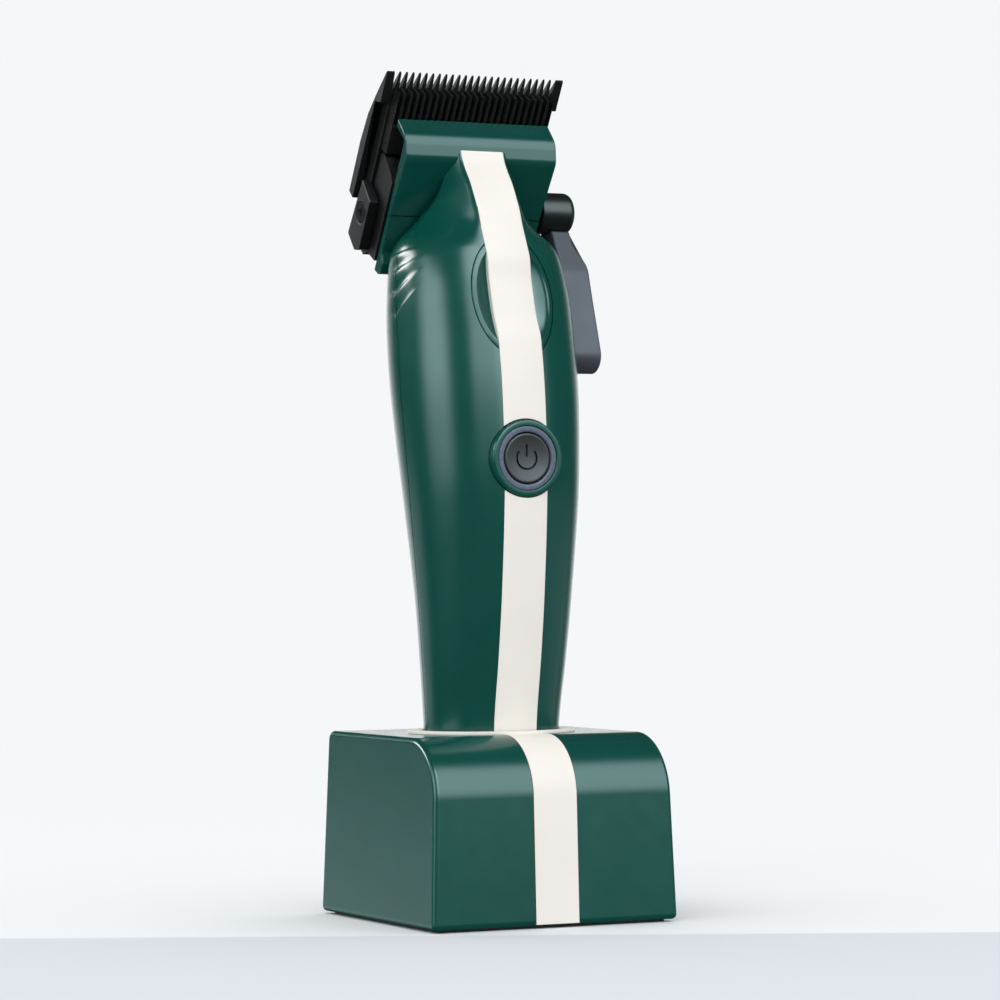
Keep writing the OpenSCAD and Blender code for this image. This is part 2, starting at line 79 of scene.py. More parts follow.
SOCKET_GAP = 0.5
REAR_TOP = 154.0
PIVOT = Vector((0, 18.6, 166))
BODY_SCREWS = [(12.5, 19.9, 142.5), (-12.5, 19.9, 142.5), (0, 11.9, 28)]

# The body's sections: height, front line, middle, half width
SECTIONS = [
    (21, -10.0, 2.6, 15.4), (45, -11.0, 2.3, 16.4), (60, -13.4, 1.3, 17.6),
    (75, -15.4, 0.9, 18.8), (97, -17.1, 1.8, 20.8), (110, -17.0, 3.2, 21.7),
    (124, -16.0, 5.1, 22.3), (137, -13.9, 7.1, 22.1), (145, -12.0, 8.0, 21.7),
    (153, -9.0, 9.5, 20.5), (157, -7.2, 10.0, 18.7), (161, -5.2, 10.0, 15.0),
    (164, -3.7, 9.0, 12.8), (167, -1.9, 8.0, 10.8), (171, 0.6, 7.6, 9.2),
    (174, 3.0, 7.7, 8.6), (176.5, 4.6, 8.0, 8.2), (179.2, 5.6, 8.4, 8.0)]
BODY_LOW = SECTIONS[0][0]
BODY_TOP = SECTIONS[-1][0]

# The line in (y, z) where the front and rear shells meet
SPLIT_LINE = [(3.4, 0), (3.4, 44), (2.2, 75), (1.8, 100), (2.8, 116), (4.7, 132), (7, 144),
              (9.2, 154)]

# The head's outline in blade coordinates, with the radius of each corner
NOSE = [(10, -3.9, 0.3), (11.7, -10.05, 5), (16.0, -12.85, 3), (31, -11.6, 0)]
CHIN = [(41.4, -11.6, 2), (43.4, -13.1, 1.3), (45.6, -13.3, 1.2), (46.8, -11.8, 0.8)]

# The oval thumb dish: middle, lean, half axes, and the rim's share of them
DISH_MID = Vector((0, -12.3, 143.6))
DISH_LEAN = math.radians(17)
DISH_HALF = (10.2, 15.2)
DISH_RIM = 0.90
DISH_DEEP = 4.0
DISH_POWER = 0.75                       # the curve of its floor, from the rim to the middle
DISH_HOLE_GAP = 0.19
STRIPE_DIP = 0.55                       # the upper stripe's share of the floor's depth
STRIPE_DIP_RUN = 0.35                   # the share of the dish over which it starts to dip
RIM_STEP = 0.06

# The gills on each flank: each edge's height at the parting line and at its front end, and above
# it the depth of the scallop that flares out to the edge and the power of its curve. The first
# row is the upper end of the top scallop, so it has no scallop of its own.
GILLS = [(157.3, 158.4, 0, 0), (154.3, 156.3, 0.10, 5), (149.9, 154.0, 0.34, 2),
         (144.6, 151.2, 0.36, 3), (139.6, 147.8, 0.14, 3)]
GILL_RINGS = (0.985, 0.97, 0.95, 0.92, 0.88, 0.82, 0.75, 0.66, 0.55, 0.42, 0.28, 0.14)
GILL_FADE = 4.0                         # the way over which they fade behind the parting line
GILL_LENGTH = 10.0
GILL_LOW, GILL_HIGH = 125, 161          # the rings are level outside these heights
FLAT_LOW, FLAT_HIGH = 155, 166          # the front turns from round to flat between these
FLAT_HALF = 5.9
NOTCH_Z = 174.5                         # above this the body's tip lies in a notch in the head
TIP_SINK = 1.7

# ---- mesh helpers ----


def link(name, mesh):
    obj = bpy.data.objects.new(name, mesh)
    bpy.context.scene.collection.objects.link(obj)
    return obj


def clean(mesh, merge=0.0, flat=0.0):
    """Turns the normals outward, after merging near points and dissolving flat edges, if asked."""
    bm = bmesh.new()
    bm.from_mesh(mesh)
    if merge:
        bmesh.ops.remove_doubles(bm, verts=bm.verts, dist=merge)
    if flat:
        bmesh.ops.dissolve_limit(bm, angle_limit=math.radians(flat), verts=bm.verts, edges=bm.edges)
    bmesh.ops.recalc_face_normals(bm, faces=bm.faces)
    bm.to_mesh(mesh)
    bm.free()


def build(name, points, faces):
    """A closed mesh of the points and faces, with its normals turned outward."""
    mesh = bpy.data.meshes.new(name)
    mesh.from_pydata([tuple(p) for p in points], [], faces)
    clean(mesh)
    return link(name, mesh)


def apply_modifiers(obj):
    graph = bpy.context.evaluated_depsgraph_get()
    mesh = bpy.data.meshes.new_from_object(obj.evaluated_get(graph))
    obj.modifiers.clear()
    old = obj.data
    obj.data = mesh
    bpy.data.meshes.remove(old)


def combine(obj, others, operation="DIFFERENCE", solver="MANIFOLD"):
    """Cuts or joins obj with each of the other objects, which are used up."""
    for other in others:
        modifier = obj.modifiers.new("combine", "BOOLEAN")
        modifier.object = other
        modifier.operation = operation
        modifier.solver = solver
    apply_modifiers(obj)
    for other in others:
        bpy.data.objects.remove(other)
    return obj


def copy_of(obj, name):
    return link(name, obj.data.copy())


def skin(name, rings):
    """A closed solid through rings with equal numbers of points."""
    count = len(rings[0])
    points = [p for ring in rings for p in ring]
    faces = []
    for j in range(len(rings) - 1):
        for i in range(count):
            k = (i + 1) % count
            faces.append((j * count + i, j * count + k, (j + 1) * count + k, (j + 1) * count + i))
    faces.append(tuple(range(count)))
    faces.append(tuple(range((len(rings) - 1) * count, len(rings) * count)))
    return build(name, points, faces)


def rounded(corners, turn=9):
    """A closed outline through corners (u, v, radius), each rounded by an arc in steps of turn
    degrees."""
    outline = []
    count = len(corners)
    for i, (u, v, radius) in enumerate(corners):
        corner = Vector((u, v))
        back = (Vector(corners[i - 1][:2]) - corner).normalized()
        ahead = (Vector(corners[(i + 1) % count][:2]) - corner).normalized()
        if radius == 0:
            outline.append(corner)
            continue
        half = back.angle(ahead) / 2
        centre = corner + (back + ahead).normalized() * radius / math.sin(half)
        start = corner + back * radius / math.tan(half) - centre
        end = corner + ahead * radius / math.tan(half) - centre
        sweep = math.atan2(start.x * end.y - start.y * end.x, start.dot(end))
        steps = max(2, math.ceil(abs(math.degrees(sweep)) / turn))
        for j in range(steps + 1):
            outline.append(centre + Matrix.Rotation(sweep * j / steps, 2) @ start)
    return outline


def offset(outline, distance):
    """The closed outline moved in by distance, point by point."""
    area = sum(a.x * b.y - b.x * a.y for a, b in zip(outline, outline[1:] + outline[:1]))
    side = 1 if area > 0 else -1
    sharpest = 0.35                     # keeps a point at a sharp corner from flying far out
    moved = []
    for i, point in enumerate(outline):
        edge_in = (point - outline[i - 1]).normalized()
        edge_out = (outline[(i + 1) % len(outline)] - point).normalized()
        normal_in = Vector((-edge_in.y, edge_in.x)) * side
        normal_out = Vector((-edge_out.y, edge_out.x)) * side
        middle = (normal_in + normal_out).normalized()
        moved.append(point + middle * distance / max(sharpest, middle.dot(normal_in)))
    return moved


def prism(name, outline, low, high, radius=0.4, steps=4, place=lambda u, v, x: (x, u, v)):
    """The outline drawn out along x from low to high, with both end edges rounded."""
    low_at = low if callable(low) else lambda u, v: low
    high_at = high if callable(high) else lambda u, v: high
    loops = []
    for end, sign in ((low_at, 1), (high_at, -1)):
        side = []
        for j in range(steps + 1):
            angle = math.pi / 2 * j / steps
            ring = offset(outline, radius * (1 - math.sin(angle)))
            shift = radius * (1 - math.cos(angle)) * sign
            side.append([place(p.x, p.y, end(p.x, p.y) + shift) for p in ring])
        loops += side if sign > 0 else side[::-1]
    return skin(name, loops)


def revolve(name, profile, place, segments=96):
    """The closed profile (radius, height) turned about the axis of place(radius, height, angle)."""
    rings = [[place(r, h, 2 * math.pi * i / segments) for r, h in profile] for i in range(segments)]
    count = len(profile)
    points = [p for ring in rings for p in ring]
    faces = []
    for j in range(segments):
        for i in range(count):
            k, m = (i + 1) % count, (j + 1) % segments
            faces.append((j * count + i, j * count + k, m * count + k, m * count + i))
    obj = build(name, points, faces)
    clean(obj.data, merge=1e-5)
    return obj


def from_node(node, bevel):
    """A CAD node's shape as a new object with clean faces and rounded edges."""
    source = frame["nodes"][node].data
    points = [v.co / MM for v in source.vertices]
    obj = build(node + "_fine", points, [tuple(p.vertices) for p in source.polygons])
    clean(obj.data, merge=0.001, flat=1)
    modifier = obj.modifiers.new("bevel", "BEVEL")
    modifier.width = bevel
    modifier.segments = 2
    modifier.limit_method = "ANGLE"
    modifier.angle_limit = math.radians(30)
    modifier.harden_normals = False
    apply_modifiers(obj)
    return obj


def second_coat(obj, chosen):
    """Gives the faces that chosen(centre in mm, normal) picks the piece's second material."""
    for face in obj.data.polygons:
        if chosen(face.center / MM, face.normal):
            face.material_index = 1


def place_piece(obj, name, body, nodes, material, crease=35):
    """Scales a finished piece to metres, gives it its materials, smooths it between creases, hangs
    it on its body's empty and hides the CAD nodes it stands for.
    """
    mesh = obj.data
    obj.name = name
    mesh.name = name
    mesh.transform(Matrix.Scale(MM, 4))
    mesh.materials.clear()
    for item in material if isinstance(material, list) else [material]:
        mesh.materials.append(item)
    mesh.shade_smooth()
    mesh.set_sharp_from_angle(angle=math.radians(crease))
    weighted = obj.modifiers.new("normals", "WEIGHTED_NORMAL")
    weighted.keep_sharp = True
    weighted.weight = 60
    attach(obj, body)
    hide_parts(*nodes)
    return obj


# ---- places ----


def at_blade(x, d, n):
    """Blade coordinates: x across, d down from the tips, n towards the blade's back."""
    s, c = math.sin(BLADE_LEAN), math.cos(BLADE_LEAN)
    return Vector((x, TIP_Y + s * d + c * n, TIP_Z - c * d + s * n))


def blade_place(d, n, x):
    return at_blade(x, d, n)


def at_dish(u, v, w):
    """Dish coordinates: u across, v up the body, w out of it."""
    s, c = math.sin(DISH_LEAN), math.cos(DISH_LEAN)
    return DISH_MID + Vector((u, v * s - w * c, v * c + w * s))


def about_button(radius, y, angle):
    return Vector((radius * math.cos(angle), y, BUTTON_Z + radius * math.sin(angle)))


def bar(name, radius, start, end, segments=48):
    """A plain round bar between two points, for cutting."""
    start, end = Vector(start), Vector(end)
    axis = (end - start).normalized()
    across = axis.orthogonal().normalized()
    other = axis.cross(across)
    rings = [[p + radius * (across * math.cos(2 * math.pi * i / segments)
                            + other * math.sin(2 * math.pi * i / segments))
              for i in range(segments)] for p in (start, end)]
    return skin(name, rings)


def block(name, low, high):
    """A plain box between two corners, for cutting."""
    (x0, y0, z0), (x1, y1, z1) = low, high
    return skin(name, [[(x0, y0, z), (x1, y0, z), (x1, y1, z), (x0, y1, z)] for z in (z0, z1)])


# ---- the body's surface ----


def slope(i, k):
    a, b = max(i - 1, 0), min(i + 1, len(SECTIONS) - 1)
    return (SECTIONS[b][k] - SECTIONS[a][k]) / (SECTIONS[b][0] - SECTIONS[a][0])


def along(z, k):
    """A smooth curve through column k of the sections."""
    z = min(max(z, BODY_LOW), BODY_TOP)
    i = max(j for j in range(len(SECTIONS) - 1) if j == 0 or SECTIONS[j][0] <= z)
    h = SECTIONS[i + 1][0] - SECTIONS[i][0]
    t = (z - SECTIONS[i][0]) / h
    return ((2 * t**3 - 3 * t**2 + 1) * SECTIONS[i][k] + (t**3 - 2 * t**2 + t) * h * slope(i, k)
            + (3 * t**2 - 2 * t**3) * SECTIONS[i + 1][k] + (t**3 - t**2) * h * slope(i + 1, k))


def front_share(u, a, z):
    """The front's depth at the share u of the half width a: a half ellipse that turns flat
    towards the tip."""
    round_share = math.sqrt(max(0.0, 1 - u * u))
    flat = smooth((z - FLAT_LOW) / (FLAT_HIGH - FLAT_LOW))
    if flat == 0:
        return round_share
    reach = (1 - abs(u)) / (1 - min(0.9, FLAT_HALF / a))
    soft = 0.16
    if reach < 1 - soft:
        facet = reach
    elif reach > 1 + soft:
        facet = 1.0
    else:
        facet = 1 - (1 + soft - reach) ** 2 / (4 * soft)
    return round_share + flat * (facet - round_share)


def front_y(x, z, inset=0.0):
    """The y of the body's front skin at x and z."""
    a = along(z, 3) - inset
    b = along(z, 2) - along(z, 1) - inset
    return along(z, 2) - b * front_share(min(1.0, abs(x / a)), a, z)


def smooth(t):
    t = min(max(t, 0.0), 1.0)
    return t * t * (3 - 2 * t)


def interpolate(table, value):
    """The table's (value, result) rows joined by straight lines."""
    for (v0, r0), (v1, r1) in zip(table, table[1:]):
        if value <= v1:
            return r0 + (r1 - r0) * (value - v0) / (v1 - v0)
    return table[-1][1]


def split_y(z):
    """The parting line's y at height z."""
    return interpolate([(z, y) for y, z in SPLIT_LINE], z)


def gill_run(y, z):
    """The way from the parting line to the gills' front ends: 0 to 1."""
    return (split_y(z) - y) / GILL_LENGTH


def section_point(z, inset, t):
    """The body's point at height z and turn t."""
    at = min(max(z, BODY_LOW), BODY_TOP)
    a = along(at, 3) - inset
    mid = along(at, 2)
    b = mid - along(at, 1) - inset
    share = math.sin(t)
    if share < 0:
        share = -front_share(abs(math.cos(t)), a, at)
    return Vector((a * math.cos(t), mid + b * share, z))


def body_ring(z, inset, count):
    return [section_point(z, inset, 2 * math.pi * i / count) for i in range(count)]


def body_form(name, z0, z1, inset, count=96, step=2.0):
    """The body from z0 to z1 drawn in by inset; past its ends it keeps its end sections."""
    start, end = max(z0, BODY_LOW), min(z1, BODY_TOP)
    heights = [z0] * (z0 < start) + spaced(start, end, step) + [z1] * (z1 > end)
    return skin(name, [body_ring(z, inset, count) for z in heights])


def gill_levels(step):
    """Ring heights at the parting line, each with the gills' depth there, from the bottom up."""
    below = spaced(BODY_LOW, GILL_LOW, step) + spaced(GILL_LOW, GILLS[-1][0], step)[1:]
    levels = [(z, 0.0) for z in below]
    for (top, *_), (low, _, depth, power) in list(zip(GILLS, GILLS[1:]))[::-1]:
        peak = power / (power + 1)
        highest = peak**power * (1 - peak)
        levels += [(top + (low - top) * t, depth * t**power * (1 - t) / highest)
                   for t in GILL_RINGS]
        levels.append((top, 0.0))
    levels += [(z, 0.0) for z in spaced(GILLS[0][0], GILL_HIGH, 0.8)[1:]]
    return levels + [(z, 0.0) for z in spaced(GILL_HIGH, BODY_TOP, step / 2)[1:]]


def gilled_body(name, count, step):
    """The body's outer skin with the gills on both flanks; its rings run along their edges."""
    edges = [(low, high - low) for low, high, *_ in GILLS[::-1]]
    shifts = [(GILL_LOW, 0.0)] + edges + [(GILL_HIGH, 0.0)]
    rings = []
    for level, depth in gill_levels(step):
        shift = interpolate(shifts, level) if GILL_LOW < level < GILL_HIGH else 0.0
        ring = []
        for i in range(count):
            t = 2 * math.pi * i / count
            point = section_point(level, 0, t)
            for _ in range(3 if shift else 0):
                run = gill_run(point.y, point.z)
                point = section_point(level + shift * min(max(run, 0.0), 1.0), 0, t)
            if depth:
                run = gill_run(point.y, point.z)
                behind = run * GILL_LENGTH / GILL_FADE
                fade = 1 - smooth(run) if run > 0 else math.exp(-behind * behind)
                a = along(point.z, 3)
                b = along(point.z, 2) - along(point.z, 1)
                normal = Vector((math.cos(t) / a, math.sin(t) / b, 0)).normalized()
                point -= depth * fade * normal
            ring.append(point)
        rings.append(ring)
    return skin(name, rings)


def head_space(gap):
    """The whole head, grown by gap, as a solid that the shells are cut by."""
    corners = NOSE[:-1] + CHIN + [(46.7, 40, 0), (-5, 40, 0), (-5, -3.9, 0)]
    outline = offset(rounded(corners, turn=4), -gap)
    return prism("head_space", outline, -FAR, FAR, radius=0, steps=1, place=blade_place)


def shell_limit():
    """What the shells are cut by: the head, but for the notch around the body's tip."""
    face = combine(head_space(0.12), [block("notch", (-FAR, -FAR, NOTCH_Z), (FAR, FAR, 300))])
    return [face, head_space(-TIP_SINK)]


def half_space(shift, front):
    """The space in front of the parting line, or behind it, moved back by shift."""
    line = [(y + shift, z) for y, z in SPLIT_LINE]
    below, above, side = -5, 250, 90
    line[0] = (line[0][0], below)
    top = REAR_TOP + shift
    if front:
        outline = [(-side, below)] + line[:-1] + [(line[-1][0], top), (side, top), (side, above),
                                                  (-side, above)]
    else:
        outline = [(side, below), (side, top), (line[-1][0], top)] + line[:-1][::-1]
    return prism("half_space", [Vector(p) for p in outline], -FAR, FAR, radius=0, steps=1)


# ---- the thumb dish ----


def dish_share(u, v):
    """How far along the way from the dish's middle, 0, to its rim, 1, a point lies."""
    return math.hypot(u / DISH_HALF[0], v / DISH_HALF[1]) / DISH_RIM


def hollow(rho):
    """The depth of the dish's bowl at the share rho of the way to its rim."""
    return DISH_DEEP * (1 - rho * rho) ** DISH_POWER if rho < 1 else 0.0


def floor_depth(u, v):
    """How far the dish's floor lies behind the body's skin."""
    return RIM_STEP + hollow(dish_share(u, v))


def dish_point(u, v, behind):
    """The point behind the body's skin that has dish coordinates u and v."""
    z = at_dish(u, v, 0).z
    return Vector((u, front_y(u, z) + behind, z))


def dish_prism(name, grow, behind):
    """An oval plug along y through the body's front, for cutting."""
    count = 128
    rings = []
    for y in (-40, behind):
        ring = []
        for i in range(count):
            t = 2 * math.pi * i / count
            p = at_dish((DISH_HALF[0] + grow) * math.cos(t), (DISH_HALF[1] + grow) * math.sin(t), 0)
            ring.append((p.x, y, p.z))
        rings.append(ring)
    return skin(name, rings)


# ---- materials ----

NOISE_LOW, NOISE_HIGH = 0.3, 0.7        # most of a noise's values lie between these
MIX_FACTOR, MIX_FIRST, MIX_SECOND, MIX_RESULT = 0, 6, 7, 2      # a colour mix node's sockets


def mapped(tree, value, source, target=(0, 1), eased=False):
    """The value, mapped from the source range to the target range."""
    node = tree.nodes.new("ShaderNodeMapRange")
    if eased:
        node.interpolation_type = "SMOOTHSTEP"
    for key, amount in zip(("From Min", "From Max", "To Min", "To Max"), (*source, *target)):
        node.inputs[key].default_value = amount
    tree.links.new(value, node.inputs["Value"])
    return node.outputs["Result"]


def mixed(tree, factor, first, second):
    """The first colour where the factor is 0, and the second where it is 1."""
    node = tree.nodes.new("ShaderNodeMix")
    node.data_type = "RGBA"
    for key, value in ((MIX_FACTOR, factor), (MIX_FIRST, first), (MIX_SECOND, second)):
        if isinstance(value, tuple):
            node.inputs[key].default_value = (*value, 1)
        else:
            tree.links.new(value, node.inputs[key])
    return node.outputs[MIX_RESULT]


class Shader:
    """A node material that starts from a Principled shader, with object coordinates in metres."""

    def __init__(self, name, **sockets):
        self.material = bpy.data.materials.new(name)
        self.material.use_nodes = True
        self.tree = self.material.node_tree
        self.shader = self.tree.nodes["Principled BSDF"]
        self.coords = self.tree.nodes.new("ShaderNodeTexCoord").outputs["Object"]
        for key, value in sockets.items():
            self.shader.inputs[key.replace("_", " ")].default_value = value

    def noise(self, scale, detail=3.0, stretch=None):
        coords = self.coords
        if stretch:
            mapping = self.tree.nodes.new("ShaderNodeMapping")
            mapping.inputs["Scale"].default_value = stretch
            self.tree.links.new(coords, mapping.inputs["Vector"])
            coords = mapping.outputs["Vector"]
        node = self.tree.nodes.new("ShaderNodeTexNoise")
        node.inputs["Scale"].default_value = scale
        node.inputs["Detail"].default_value = detail
        self.tree.links.new(coords, node.inputs["Vector"])
        return node.outputs["Fac"]

    def ramp(self, value, stops):
        node = self.tree.nodes.new("ShaderNodeValToRGB")
        elements = node.color_ramp.elements
        while len(elements) < len(stops):
            elements.new(0.5)
        for element, (position, colour) in zip(elements, stops):
            element.position = position
            element.color = (*colour, 1)
        self.tree.links.new(value, node.inputs["Fac"])
        return node.outputs["Color"]

    def two_tone(self, value, colour, vary):
        """A ramp from a darker to a lighter tint of the colour."""
        return self.ramp(value, [(NOISE_LOW, tinted(colour, 1 - vary)),
                                 (NOISE_HIGH, tinted(colour, 1 + vary))])

    def spread(self, value, middle, vary):
        return mapped(self.tree, value, (NOISE_LOW, NOISE_HIGH),
                      (middle * (1 - vary), middle * (1 + vary)))

    def bump(self, value, strength, distance):
        node = self.tree.nodes.new("ShaderNodeBump")
        node.inputs["Strength"].default_value = strength
        node.inputs["Distance"].default_value = distance
        self.tree.links.new(value, node.inputs["Height"])
        self.tree.links.new(node.outputs["Normal"], self.shader.inputs["Normal"])

    def to(self, value, socket):
        self.tree.links.new(value, self.shader.inputs[socket])


def tinted(colour, gain):
    return tuple(min(1.0, c * gain) for c in colour)


def moulded(name, colour, rough, vary=0.06, grain=9000, grain_strength=0.03, patch=60, **sockets):
    """A painted or moulded surface: faint mottling, a little change of gloss and a fine grain."""
    s = Shader(name, **sockets)
    s.to(s.two_tone(s.noise(patch), colour, vary), "Base Color")
    s.to(s.spread(s.noise(patch * 6), rough, 0.08), "Roughness")
    s.bump(s.noise(grain, detail=2), grain_strength, 0.00004)
    return s.material


def metal(name, colour, rough, metallic=1.0, stretch=(1, 1, 1), lines=5000, strength=0.08):
    """Ground or coated metal: fine drawn lines along one direction and a slight change of tone."""
    s = Shader(name, Metallic=metallic)
    grain = s.noise(lines, detail=2, stretch=stretch)
    s.to(s.two_tone(grain, colour, 0.15), "Base Color")
    s.to(s.spread(s.noise(400), rough, 0.15), "Roughness")
    s.bump(grain, strength, 0.00003)
    return s.material


GREEN = (0.0014, 0.0650, 0.0500)
CREAM = (0.885, 0.845, 0.785)

DRAWN = (1, 0.08, 0.08)                 # stretches a metal's grain into lines

green_paint = moulded("green_paint", GREEN, 0.22, patch=45, Specular_IOR_Level=0.5)
green_head_paint = moulded("green_head_paint", tinted(GREEN, 0.92), 0.22, patch=45)
cream_plastic = moulded("cream_plastic", CREAM, 0.5, vary=0.02, grain=7000,
                        Specular_IOR_Level=0.2)
stripe_edge = moulded("stripe_edge", (0.30, 0.155, 0.055), 0.5)
blade_coat = metal("blade_coat", (0.012, 0.012, 0.012), 0.42, metallic=0.35, stretch=DRAWN)
cutter_coat = metal("cutter_coat", (0.035, 0.036, 0.036), 0.3, metallic=0.7, stretch=DRAWN)
bracket_plastic = moulded("bracket_plastic", (0.0055, 0.0055, 0.0056), 0.4, vary=0.15,
                          Specular_IOR_Level=0.3)
# Painted sheen: the lever arm's slate base is a lighter copy of the near-black that barrel_coat
# gives the hub, standing in for the satin reflection of the arm's flat faces.
lever_coat_painted_sheen = moulded("lever_coat_painted_sheen", (0.058, 0.062, 0.078), 0.42, vary=0.08,
                     Specular_IOR_Level=0.4)
barrel_coat = moulded("barrel_coat", (0.008, 0.0085, 0.009), 0.34, vary=0.08)
button_rubber = moulded("button_rubber", (0.026, 0.027, 0.030), 0.42, vary=0.08)
# Painted shade: near-black for the floor of the power button's engraved symbol, darker than the
# button's rubber.
groove_painted_shade = moulded("groove_painted_shade", (0.003, 0.003, 0.003), 0.7)
ring_plastic = moulded("ring_plastic", (0.085, 0.105, 0.155), 0.28, vary=0.10, patch=160)
steel = metal("steel", (0.62, 0.63, 0.65), 0.28)
screw_zinc = metal("screw_zinc", (0.05, 0.05, 0.055), 0.22, metallic=0.9)
bronze = metal("bronze", (0.50, 0.33, 0.14), 0.4)
gold = metal("gold", (0.85, 0.60, 0.22), 0.2)
board_mask = moulded("board_mask", (0.01, 0.11, 0.04), 0.35)
battery_sleeve = moulded("battery_sleeve", (0.03, 0.10, 0.25), 0.3)
pad_rubber = moulded("pad_rubber", (0.012, 0.012, 0.013), 0.8, grain=3000, grain_strength=0.3)
black_moulding = moulded("black_moulding", (0.012, 0.012, 0.013), 0.5, grain=3500,
                         grain_strength=0.15)
cast_steel = metal("cast_steel", (0.2, 0.2, 0.21), 0.6, strength=0.3)

SLOT_MATERIALS = {
    "green_body": green_paint, "green_head": green_head_paint, "cream_stripe": cream_plastic,
    "black_blade": blade_coat, "black_bracket": bracket_plastic, "slate_lever": lever_coat_painted_sheen,
    "button_dark": button_rubber, "light_ring": ring_plastic, "bright_steel": steel,
    "screw_black": screw_zinc, "bronze": bronze, "gold_contact": gold, "board_green": board_mask,
    "battery_wrap": battery_sleeve, "rubber_pad": pad_rubber, "black_liner": black_moulding,
    "ballast_steel": cast_steel}

for part in frame["record"]["subparts"]:
    node = frame["nodes"][part["node"]]
    if not node.material_slots:
        node.data.materials.append(None)
    for held in node.material_slots:
        held.material = SLOT_MATERIALS[part["material_slot"]]

# ---- dock ----


def dock_half(z, inset=0.0):
    return DOCK_HALF - inset - DOCK_DRAFT * (z - 1) / (DOCK_TOP - 1)


def dock_outline(inset=0.0, foot=DOCK_FOOT, foot_r=1.3):
    """The dock's outline from the side, in (y, z), drawn in by inset."""
    low, high = dock_half(foot, inset), dock_half(DOCK_TOP, inset)
    top = DOCK_TOP - inset
    return rounded([(-low, foot, foot_r), (low, foot, foot_r),
                    (high, top, max(0.3, DOCK_EDGE_R - inset)), (-high, top, DOCK_FRONT_R - inset)],
                   turn=4)


def dock_solid(name, inset=0.0, foot=DOCK_FOOT, foot_r=1.3, radius=1.25):
    return prism(name, dock_outline(inset, foot, foot_r), lambda y, z: -dock_half(z, inset),
                 lambda y, z: dock_half(z, inset), radius=radius, steps=8)


def dock_strip(name, half_width, depth, proud):
    """A strip over the dock's front and top, from proud of its skin to depth below it."""
    outer = offset(dock_outline(foot_r=0.6), -proud)
    inner = offset(dock_outline(foot_r=0.6), depth)
    return combine(prism(name, outer, -half_width, half_width, radius=0.12, steps=2),
                   [prism("strip_core", inner, -40, 40, radius=0, steps=1),
                    block("strip_back", (-40, -13, -10), (40, 60, 80)),
                    block("strip_foot", (-40, -60, -10), (40, 60, 0.95))])


def socket_form(name, z0, z1, gap):
    return body_form(name, z0, z1, -gap, count=96, step=3)


def make_dock():
    housing = dock_solid("dock_housing_fine")
    slot = rounded([(-4.8, USB_Z - 1.95, 1.9), (4.8, USB_Z - 1.95, 1.9), (4.8, USB_Z + 1.95, 1.9),
                    (-4.8, USB_Z + 1.95, 1.9)])
    combine(housing, [
        dock_solid("dock_cavity", DOCK_WALL, foot=-1.0, foot_r=0.3, radius=0.5),
        dock_strip("stripe_channel", STRIPE_HALF + 0.08, STRIPE_T + 0.1, 1.0),
        socket_form("socket_hole", 25, 50, 2.1),
        prism("usb_hole", slot, 20, 40, radius=0, steps=1, place=lambda u, v, x: (u, x, v))])
    place_piece(housing, "dock_housing_fine", "dock", ["dock_housing"], green_paint)
    stripe = dock_strip("dock_stripe_fine", STRIPE_HALF, STRIPE_T, STRIPE_PROUD)
    place_piece(stripe, "dock_stripe_fine", "dock", ["dock_stripe"],
                [cream_plastic, stripe_edge])
    second_coat(stripe, lambda centre, normal: abs(normal.x) > 0.5)
    collar = rounded([(10, 43.02, 0), (17, 43.02, 0), (17, 43.65, 0.3), (10, 43.65, 0)])
    ring = revolve("dock_ring_fine", collar,
                   lambda r, h, t: (20 / 17 * r * math.cos(t), 2.3 + r * math.sin(t), h))
    combine(ring, [socket_form("ring_hole", 35, 50, SOCKET_GAP)])
    place_piece(ring, "dock_ring_fine", "dock", ["dock_socket_ring"], cream_plastic)


# ---- body shells ----


def make_shells():
    count, step = ((320, 1.1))
    shell = gilled_body("shell", count, step)
    combine(shell, [body_form("shell_core", BODY_LOW - 4, BODY_TOP - 4, SHELL_T)] + shell_limit())
    rear = copy_of(shell, "rear")
    holes = [bar("screw_hole", SCREW_HOLE_R, (x, y - 0.05, z), (x, FAR, z))
             for x, y, z in BODY_SCREWS]
    combine(rear, [half_space(SHELL_GAP / 2, True)] + holes)
    place_piece(rear, "rear_shell_fine", "clipper", ["rear_shell"], green_paint,
                crease=50)
    channel = block("channel", (-STRIPE_HALF - 0.06, -FAR, 0), (STRIPE_HALF + 0.06, 3, 200))
    combine(channel, [body_form("channel_core", BODY_LOW - 5, BODY_TOP + 5, STRIPE_T + 0.1,
                                128, 1.5)])
    combine(shell, [half_space(-SHELL_GAP / 2, False), channel,
                    dish_prism("dish_hole", DISH_HOLE_GAP, 0),
                    bar("button_hole", SHELL_HOLE_R, (0, -40, BUTTON_Z), (0, -8, BUTTON_Z), 96)])
    place_piece(shell, "front_shell_fine", "clipper", ["front_shell"], green_paint,
                crease=50)


def strip_solid(name, rows, columns, front, thick):
    """A closed strip whose skin is front(column, row), thick deep along y."""
    wide, high = len(columns), len(rows)
    outer = [front(c, r) for r in rows for c in columns]
    inner = [p + Vector((0, thick, 0)) for p in outer]
    faces = []
    base = wide * high
    for j in range(high - 1):
        for i in range(wide - 1):
            a, b = j * wide + i, j * wide + i + 1
            c, d = b + wide, a + wide
            faces += [(a, b, c, d), (base + d, base + c, base + b, base + a)]
    rim = [j * wide for j in range(high)] + [(high - 1) * wide + i for i in range(1, wide)]
    rim += [j * wide + wide - 1 for j in range(high - 2, -1, -1)] + list(range(wide - 2, 0, -1))
    for a, b in zip(rim, rim[1:] + rim[:1]):
        faces.append((a, b, base + b, base + a))
    return build(name, outer + inner, faces)


def spaced(start, end, step):
    count = max(1, round(abs(end - start) / step))
    return [start + (end - start) * i / count for i in range(count + 1)]


